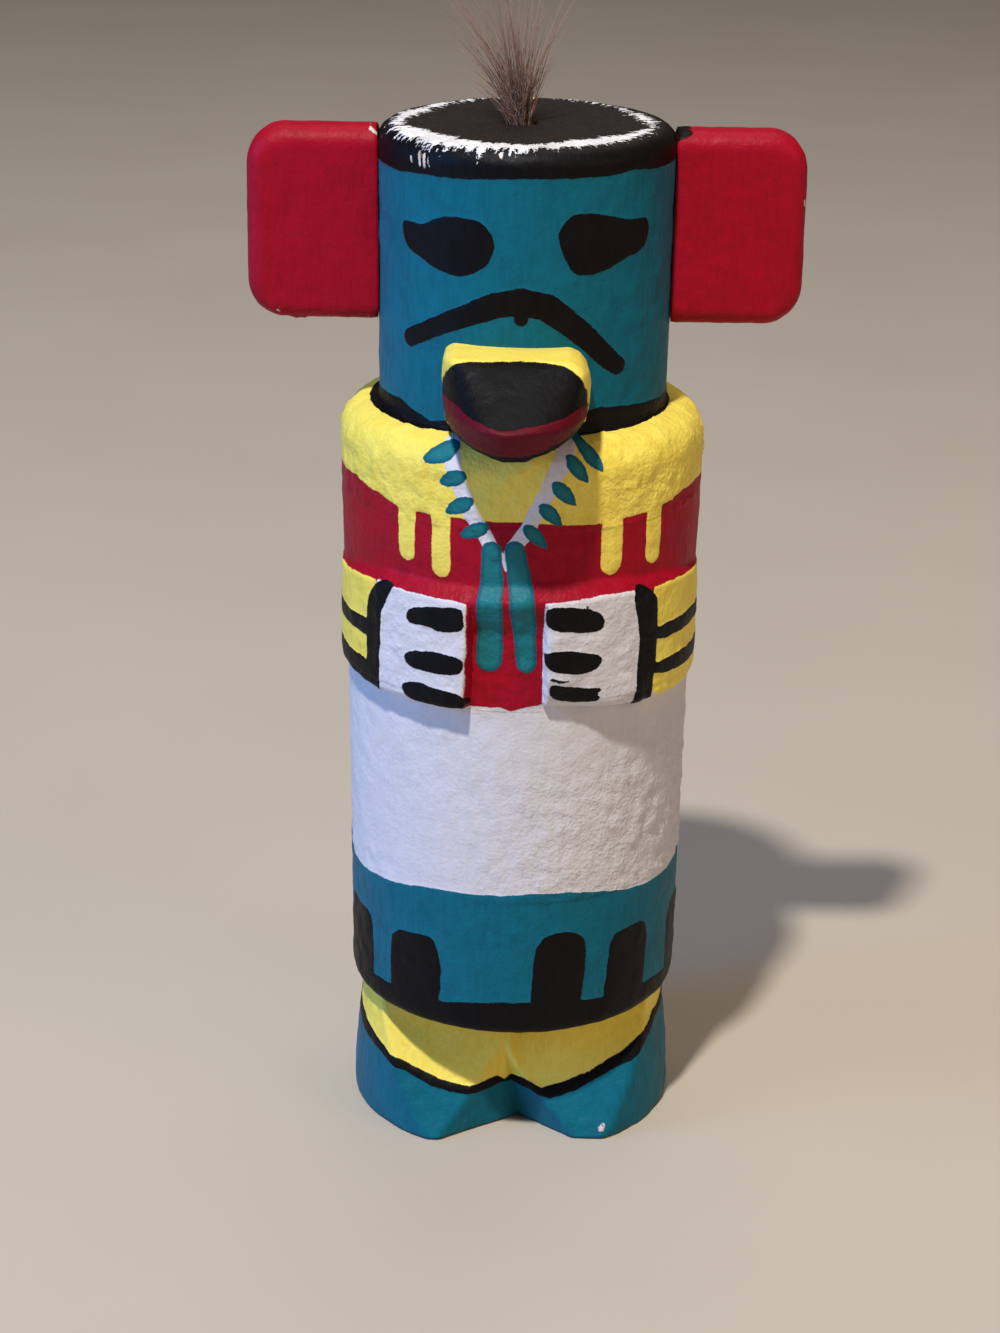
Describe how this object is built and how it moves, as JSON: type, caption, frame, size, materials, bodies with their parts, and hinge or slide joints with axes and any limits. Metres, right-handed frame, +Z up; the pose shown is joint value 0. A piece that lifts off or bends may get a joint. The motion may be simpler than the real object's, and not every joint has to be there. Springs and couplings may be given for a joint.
{
  "type": "painted carved wooden doll",
  "caption": "Small carved and painted standing wooden doll with slab ears, a snout, relief arms, a kilt and a hair tuft in the crown.",
  "frame": {"origin": "middle of the flat underside of the feet, on the axis of the turned body", "axes": "+Z up through the crown, -Y the way the doll faces, +X to the doll's left"},
  "size_m": [0.0936, 0.0758, 0.2055],
  "materials": {
    "painted_wood": "hand-brushed matt acrylic paint in teal, yellow, red, white and black over gesso on light carved wood",
    "red_paint": "hand-brushed red paint on carved wood, worn at the edges",
    "snout_paint": "black, yellow and dark red paint on carved wood, slightly satin",
    "hair": "coarse brown animal hair, darker at the root"
  },
  "bodies": {
    "root": {"carved_figure": "painted_wood", "ear_left": "red_paint", "ear_right": "red_paint", "snout": "snout_paint", "hair_tuft": "hair"}
  },
  "joints": []
}
